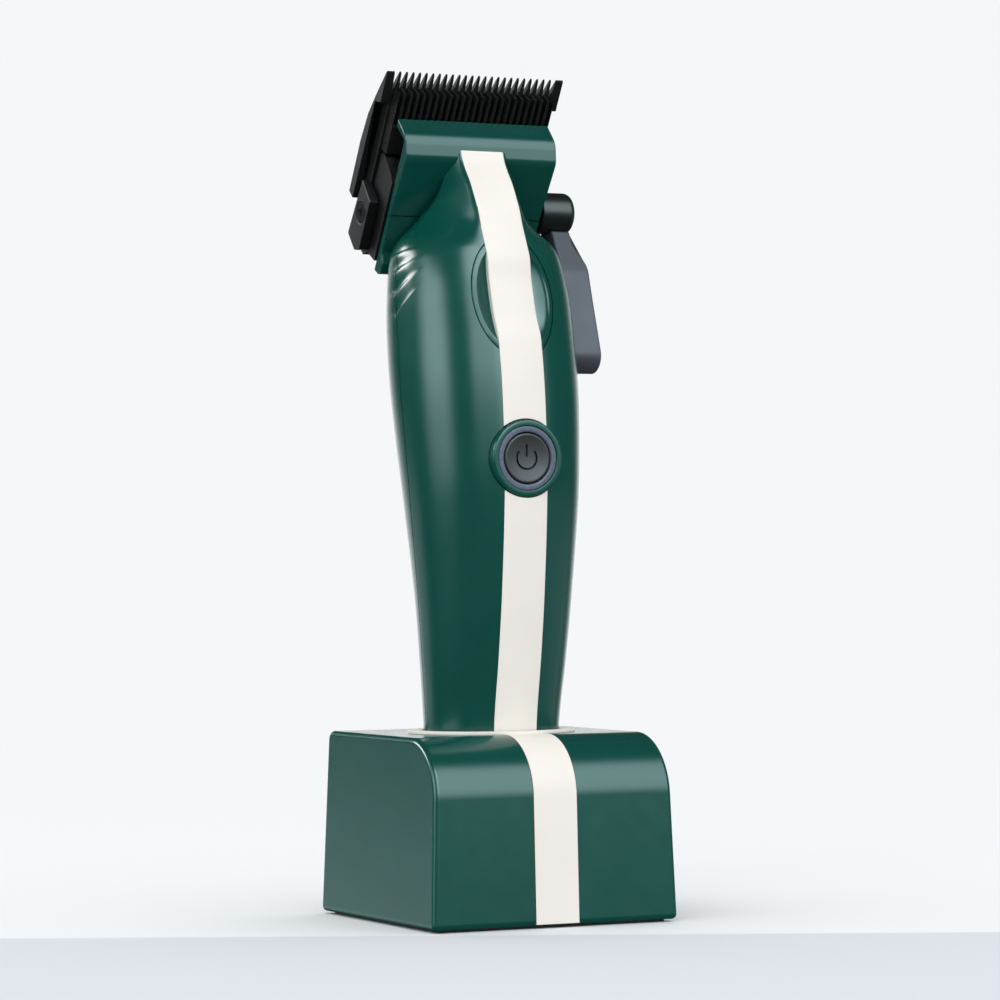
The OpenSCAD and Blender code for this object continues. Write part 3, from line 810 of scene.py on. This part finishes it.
def stripe_front(x, z):
    """A stripe's skin: proud of the body, and dipping part of the way to the dish's floor."""
    v = (z - DISH_MID.z) / math.cos(DISH_LEAN)
    rho = dish_share(STRIPE_HALF, v)
    sink = STRIPE_DIP * hollow(rho) * smooth((1 - rho) / STRIPE_DIP_RUN)
    edge = max(0.0, abs(x) - STRIPE_HALF + STRIPE_ROUND) / STRIPE_ROUND
    return Vector((x, front_y(x, z) + sink - STRIPE_PROUD + STRIPE_PROUD * edge**2, z))


def make_stripes():
    fine = 0.3
    inner = spaced(-STRIPE_HALF + STRIPE_ROUND, STRIPE_HALF - STRIPE_ROUND, 0.6)
    columns = [-STRIPE_HALF, -STRIPE_HALF + STRIPE_SIDE, *inner, STRIPE_HALF - STRIPE_SIDE,
               STRIPE_HALF]
    hole = ("stripe_hole", STRIPE_HOLE_R, (0, -40, BUTTON_Z), (0, 20, BUTTON_Z), 128)
    upper = strip_solid("upper", spaced(BUTTON_Z + 5, BODY_TOP - 0.1, fine), columns,
                        stripe_front, UPPER_T)
    combine(upper, [bar(*hole)] + shell_limit())
    place_piece(upper, "stripe_upper_fine", "clipper", ["stripe_upper"],
                [cream_plastic, stripe_edge])
    lower = strip_solid("lower", spaced(BODY_LOW, BUTTON_Z - 5, fine * 2), columns,
                        stripe_front, STRIPE_T)
    combine(lower, [bar(*hole)])
    place_piece(lower, "stripe_lower_fine", "clipper", ["stripe_lower"],
                [cream_plastic, stripe_edge])
    for stripe in (upper, lower):
        second_coat(stripe, lambda centre, normal: abs(normal.x) > 0.8
                    and abs(centre.z - DISH_MID.z) > DISH_HALF[1])


def make_dish():
    """The thumb dish: an oval insert with a narrow rim and a hollow floor."""
    turns = [2 * math.pi * i / 160 for i in range(160)]
    lip, lip_start, lip_run, thick = 0.08, 0.985, 0.015, 1.6

    def ring(share, behind):
        spots = [(DISH_HALF[0] * share * math.cos(t), DISH_HALF[1] * share * math.sin(t))
                 for t in turns]
        return [dish_point(u, v, behind(u, v)) for u, v in spots]
    bowl = [0.02] + [i / 24 for i in range(1, 23)] + [0.945, 0.965, 0.985]
    shares = [s * DISH_RIM for s in bowl] + [DISH_RIM, DISH_RIM + 0.012, lip_start, 0.995, 1.0]
    rings = [ring(s, lambda u, v: floor_depth(u, v) + lip * smooth((s - lip_start) / lip_run))
             for s in shares]
    back = [ring(s, lambda u, v: floor_depth(u * 0.9, v * 0.9) + thick) for s in (1.0, 0.5, 0.02)]
    dish = skin("dish", rings + back)
    place_piece(dish, "thumb_dish_fine", "clipper", ["thumb_dish"], green_paint,
                crease=40)


# ---- button ----


def make_button():
    bezel = revolve("bezel", rounded([(7.45, -14.6, 0), (8.85, -14.6, 0), (8.85, -17.6, 0.55),
                                      (7.45, -17.6, 0.14)], turn=12), about_button, 160)
    place_piece(bezel, "button_bezel_fine", "clipper", ["button_bezel"], green_paint)
    ring = revolve("ring", rounded([(6.0, -14.6, 0), (7.38, -14.6, 0), (7.38, -17.42, 0.2),
                                    (6.0, -17.42, 0.35)], turn=12), about_button, 160)
    place_piece(ring, "indicator_ring_fine", "clipper", ["indicator_ring"],
                ring_plastic)
    profile = [(0.0, -14.9), (2.0, -14.9), (2.0, -15.4), (5.8, -15.4)]
    profile += [(5.8 - 0.45 * (1 - math.cos(a)), -16.95 - 0.45 * math.sin(a))
                for a in (math.pi / 16 * i for i in range(9))]
    face_y, bowl, bowl_r = -17.4, 0.62, 5.3
    profile += [(r, face_y + bowl * (1 - (r / bowl_r) ** 2))
                for r in (5.2 - 0.4 * i for i in range(13))]
    profile.append((0.0, face_y + bowl))
    button = revolve("button", profile, about_button, 128)
    gap, steps = 52, 40                 # the arc is open by this angle on each side of its top
    arc = [math.radians(90 + gap + i * (360 - 2 * gap) / steps) for i in range(steps + 1)]
    band = [Vector((2.78 * math.cos(t), 2.78 * math.sin(t))) for t in arc]
    band += [Vector((2.24 * math.cos(t), 2.24 * math.sin(t))) for t in reversed(arc)]
    mark = rounded([(-0.27, 0.3, 0.2), (0.27, 0.3, 0.2), (0.27, 3.2, 0.2), (-0.27, 3.2, 0.2)])

    def engrave(u, v, y):
        return (u, y, BUTTON_Z + v)
    floor = -16.3
    combine(button, [prism("arc", band, -20, floor, radius=0, steps=1, place=engrave),
                     prism("mark", mark, -20, floor, radius=0, steps=1, place=engrave)])
    place_piece(button, "power_button_fine", "power_button", ["power_button"],
                [button_rubber, groove_painted_shade])
    # The engraved symbol's floor is painted near-black: painted shade in the grooves.
    second_coat(button, lambda centre, normal: abs(centre.y - floor) < 0.02 and normal.y < -0.9)


# ---- head ----


def window(name, low, high, half):
    """A box from low to high in blade coordinates (d, n), half wide each way, for cutting."""
    (d0, n0), (d1, n1) = low, high
    outline = [Vector(p) for p in ((d0, n0), (d1, n0), (d1, n1), (d0, n1))]
    return prism(name, outline, -half, half, radius=0, steps=1, place=blade_place)


def make_head():
    corners = NOSE + [(36, -11.6, 0), (36, -9.6, 0), (13.2, -9.6, 0.5), (12.2, -3.9, 0.3)]
    cover = prism("cover", rounded(corners, turn=3), -HEAD_HALF, HEAD_HALF, radius=0.4, steps=5,
                  place=blade_place)
    notch = combine(body_form("notch", NOTCH_Z - 2, BODY_TOP + 0.12, -0.12, 160, 0.6),
                    [block("notch_foot", (-FAR, -FAR, 0), (FAR, FAR, NOTCH_Z))])
    combine(cover, [block("cover_foot", (-FAR, -FAR, 0), (FAR, FAR, HEAD_SEAM_Z + 0.1)), notch,
                    window("cover_window", (19.6, -13.5), (39.6, -5), 5.6)])
    place_piece(cover, "head_cover_fine", "clipper", ["head_cover"], green_head_paint)
    corners = [(25, -11.6, 0)] + CHIN + [(46.8, -9.6, 0.5), (25, -9.6, 0)]
    base = prism("base", rounded(corners, turn=6), -HEAD_HALF, HEAD_HALF, radius=0.4, steps=5,
                 place=blade_place)
    combine(base, [block("base_head", (-FAR, -FAR, HEAD_SEAM_Z - 0.1), (FAR, FAR, 260)),
                   window("base_window", (24, -14), (43.5, -6), 8)])
    place_piece(base, "head_base_fine", "clipper", ["head_base"], green_head_paint)


def make_hardware():
    """The parts whose CAD shape is right: they get clean faces and rounded edges."""
    rows = [
        ("blade_bracket", "clipper", "black_bracket", 0.25),
        ("side_clamp_left", "clipper", "black_bracket", 0.35),
        ("side_clamp_right", "clipper", "black_bracket", 0.35),
        ("side_screws", "clipper", "screw_black", 0.2),
        ("fixed_blade", "blade_carrier", "black_blade", 0.1),
        ("moving_blade", "cutter", "black_blade", 0.1),
        ("blade_screws", "blade_carrier", "screw_black", 0.2),
        ("body_screws", "clipper", "screw_black", 0.2),
        ("hold_down_spring", "clipper", "bright_steel", 0.08),
        ("dock_usb_socket", "dock", "bright_steel", 0.1),
        ("cutter_yoke", "cutter", "black_liner", 0.15)]
    for node, body, slot, bevel in rows:
        material = cutter_coat if node == "moving_blade" else SLOT_MATERIALS[slot]
        place_piece(from_node(node, bevel), node + "_fine", body, [node], material)


# ---- lever ----


def make_lever():
    """The taper lever: a hub over the pivot, and an arm that steps outward down the body's side."""
    hub_r, hub_x = 5, 29.3
    hub = revolve("lever", rounded([(1.62, 20.4, 0), (hub_r, 20.4, 0.4), (hub_r, hub_x, 1.7),
                                    (0.0, hub_x, 0), (0.0, 27, 0), (1.62, 27, 0)], turn=9),
                  lambda r, x, t: PIVOT + Vector((x, r * math.cos(t), r * math.sin(t))), 96)
    corners = rounded([(15.4, 161.6, 0.8), (9.9, 151.5, 6), (3.95, 130.0, 4.1), (9.6, 125.2, 4.1),
                       (12.8, 129.8, 4.3), (18.7, 152.5, 6), (21.6, 161.8, 0.8)], turn=5)
    outline = []
    for a, b in zip(corners, corners[1:] + corners[:1]):
        steps = max(1, round((b - a).length / 1.2))
        outline += [a + (b - a) * i / steps for i in range(steps)]

    def outer_x(y, z):
        """The arm's outer face: a step out below the hub, then a slight flare to the tip."""
        return 28.2 + 2.4 * smooth((159 - z) / 6.6) + 0.4 * smooth((150.7 - z) / 22)
    arm = prism("arm", outline, 23.2, outer_x, radius=0.6, steps=4)
    combine(hub, [arm], "UNION")
    place_piece(hub, "taper_lever_fine", "lever", ["taper_lever"],
                [lever_coat_painted_sheen, barrel_coat], crease=30)
    # The hub keeps the lever's near-black; the arm's lighter coat is a painted sheen.
    second_coat(hub, lambda centre, normal: (centre - PIVOT).yz.length < hub_r + 0.05)


make_dock()
make_shells()
make_stripes()
make_dish()
make_button()
make_head()
make_hardware()
make_lever()

# ---- camera ----

VIEW_AZIMUTH = math.radians(-26.346)
VIEW_PITCH = math.radians(0.972)
VIEW_ROLL = math.radians(-0.372)
VIEW_FROM = Vector((-0.39887, -0.80839, 0.08162))
LENS = 139.5


def view_axes():
    """The camera's right, up and forward directions."""
    level = math.cos(VIEW_PITCH)
    forward = Vector((-math.sin(VIEW_AZIMUTH) * level, math.cos(VIEW_AZIMUTH) * level,
                      math.sin(VIEW_PITCH)))
    right = Vector((math.cos(VIEW_AZIMUTH), math.sin(VIEW_AZIMUTH), 0))
    up = right.cross(forward)
    c, s = math.cos(VIEW_ROLL), math.sin(VIEW_ROLL)
    return c * right + s * up, c * up - s * right, forward


def make_camera():
    data = bpy.data.cameras.new("camera")
    data.sensor_width = 36
    data.lens = LENS
    camera = link("camera", data)
    right, up, forward = view_axes()
    turned = Matrix((right, up, -forward)).transposed().to_4x4()
    camera.matrix_world = Matrix.Translation(VIEW_FROM) @ turned
    bpy.context.scene.camera = camera


# ---- floor and light ----

BACKDROP = (0.913, 0.930, 0.940)
FLOOR = (0.885, 0.90, 0.905)
# Painted shade: the near floor is a darker, bluer grey than the rest.
NEAR_FLOOR_SHADE = (0.715, 0.74, 0.78)
FLOOR_LINE = (-0.046, -0.042)           # where the near floor's painted shade gives way to the pale floor, in metres away from the camera
FLOOR_FADE = (0.05, 0.7)                # where the floor passes into the backdrop
OVERHEAD, LEVEL, BELOW = (0.80, 0.81, 0.82), (1.10, 1.11, 1.13), (0.30, 0.31, 0.32)
COOL = (0.82, 1.0, 1.05)
PANEL_BASE = 0.02                       # what the reflections see between the panels
KEY_SIZE = 0.7
KEY_ENERGY = 1.8
KEY_FROM = (-0.7, -0.7, 0.9)
KEY_AIM = Vector((0, 0, 0.1))


def make_floor():
    """A pale floor with painted shade: a darker, bluer grey on the near side of a line in front of
    the dock.
    """
    size, segments = 3.0, 8
    turns = [2 * math.pi * (i + 0.5) / segments for i in range(segments)]
    mesh = bpy.data.meshes.new("floor")
    mesh.from_pydata([(size * math.cos(t), size * math.sin(t), 0) for t in turns], [],
                     [tuple(range(segments))])
    floor = link("floor", mesh)
    s = Shader("floor_paper", Roughness=0.9, Specular_IOR_Level=0.0)
    away = s.tree.nodes.new("ShaderNodeVectorMath")
    away.operation = "DOT_PRODUCT"
    away.inputs[1].default_value = (*view_axes()[2].xy, 0)
    s.tree.links.new(s.coords, away.inputs[0])
    edge = mapped(s.tree, away.outputs["Value"], FLOOR_LINE)
    far = mapped(s.tree, away.outputs["Value"], FLOOR_FADE, eased=True)
    # The near floor's darker, bluer grey is painted shade.
    paper = s.ramp(edge, [(0.0, NEAR_FLOOR_SHADE), (1.0, FLOOR)])
    s.to(mixed(s.tree, far, paper, (0, 0, 0)), "Base Color")
    s.shader.inputs["Emission Color"].default_value = (*BACKDROP, 1)
    s.to(far, "Emission Strength")
    mesh.materials.append(s.material)
    floor.visible_glossy = False
    floor.visible_diffuse = False


class Sky:
    """The studio's surroundings: a pale backdrop for the camera, an even light on the surfaces,
    and broad soft panels for their reflections."""

    def __init__(self):
        world = bpy.data.worlds.new("studio")
        bpy.context.scene.world = world
        world.use_nodes = True
        world.cycles.sampling_method = "NONE"
        self.tree = world.node_tree
        self.background = self.tree.nodes["Background"]
        coords = self.tree.nodes.new("ShaderNodeTexCoord")
        parts = self.tree.nodes.new("ShaderNodeSeparateXYZ")
        self.tree.links.new(coords.outputs["Generated"], parts.inputs[0])
        x, y, z = parts.outputs
        degrees = 180 / math.pi
        turn = self.math("ARCTAN2", self.math("MULTIPLY", x, -1), self.math("MULTIPLY", y, -1))
        self.azimuth = self.math("MULTIPLY", turn, degrees)
        self.elevation = self.math("MULTIPLY", self.math("ARCSINE", z), degrees)

    def math(self, operation, a, b=None):
        node = self.tree.nodes.new("ShaderNodeMath")
        node.operation = operation
        for socket, value in zip(node.inputs, (a, b)):
            if isinstance(value, (int, float)):
                socket.default_value = value
            elif value is not None:
                self.tree.links.new(value, socket)
        return node.outputs[0]

    def rise(self, value, start, end):
        """Goes smoothly from 0 at start to 1 at end, which may lie below it."""
        if start < end:
            return mapped(self.tree, value, (start, end), eased=True)
        return mapped(self.tree, value, (end, start), (1, 0), eased=True)

    def band(self, value, span):
        """1 between the middle two values of the span, and 0 outside its ends."""
        start, full, full_end, end = span
        return self.math("MULTIPLY", self.rise(value, start, full), self.rise(value, end, full_end))

    def panel(self, azimuths, elevations, strength):
        """A soft panel between azimuths and elevations in degrees, left positive."""
        inside = self.math("MULTIPLY", self.band(self.azimuth, azimuths),
                           self.band(self.elevation, elevations))
        return self.math("MULTIPLY", inside, strength)

    def summed(self, panels):
        total = PANEL_BASE
        for azimuths, elevations, strength in panels:
            total = self.math("ADD", self.panel(azimuths, elevations, strength), total)
        return total


def make_sky():
    sky = Sky()
    cool_panels = [
        ((-30, 4, 32, 37), (0, 24, 54, 62), 4.6),           # front left
        ((-20, -5, 20, 34), (38, 48, 58, 64), 3.2),         # its bright upper part
        ((-62, -44, -5, 8), (-2, 14, 46, 62), 4.3),         # front, for the rounded edges
        ((56, 72, 88, 110), (-8, 14, 30, 40), 5.2),         # left
        ((118, 140, 180, 181), (-30, -12, -4.5, -0.5), 0.8),  # low left
        ((-115, -100, -60, -20), (-25, -10, -5, 0), 0.35)]  # low right
    plain_panels = [
        ((114, 124, 150, 157), (14, 20, 27, 34), 14.0),     # narrow left, for the gills
        ((156, 172, 180, 181), (-20, -5, 12, 24), 0.8),     # behind left
        ((-181, -180, -138, -110), (-12, -4, 8, 16), 1.4)]  # behind right

    cool = sky.tree.nodes.new("ShaderNodeVectorMath")
    cool.operation = "MULTIPLY_ADD"
    cool.inputs[0].default_value = COOL
    sky.tree.links.new(sky.summed(cool_panels), cool.inputs[1])
    sky.tree.links.new(sky.summed(plain_panels), cool.inputs[2])
    path = sky.tree.nodes.new("ShaderNodeLightPath").outputs
    low = mixed(sky.tree, sky.rise(sky.elevation, -55, 0), BELOW, LEVEL)
    even = mixed(sky.tree, sky.rise(sky.elevation, 30, 85), low, OVERHEAD)
    mirrored = mixed(sky.tree, path["Is Glossy Ray"], even, cool.outputs["Vector"])
    seen = mixed(sky.tree, path["Is Camera Ray"], mirrored, BACKDROP)
    sky.tree.links.new(seen, sky.background.inputs["Color"])


def make_lights():
    """One broad soft key from the upper left that gives the forms a little direction."""
    data = bpy.data.lights.new("key", "AREA")
    data.shape = "RECTANGLE"
    data.size = data.size_y = KEY_SIZE
    data.energy = KEY_ENERGY
    key = link("key", data)
    key.location = KEY_FROM
    key.rotation_euler = (KEY_AIM - key.location).to_track_quat("-Z", "Y").to_euler()
    key.visible_glossy = False
    key.visible_camera = False


make_camera()
make_floor()
make_sky()
make_lights()
bpy.context.scene.view_settings.view_transform = "Standard"
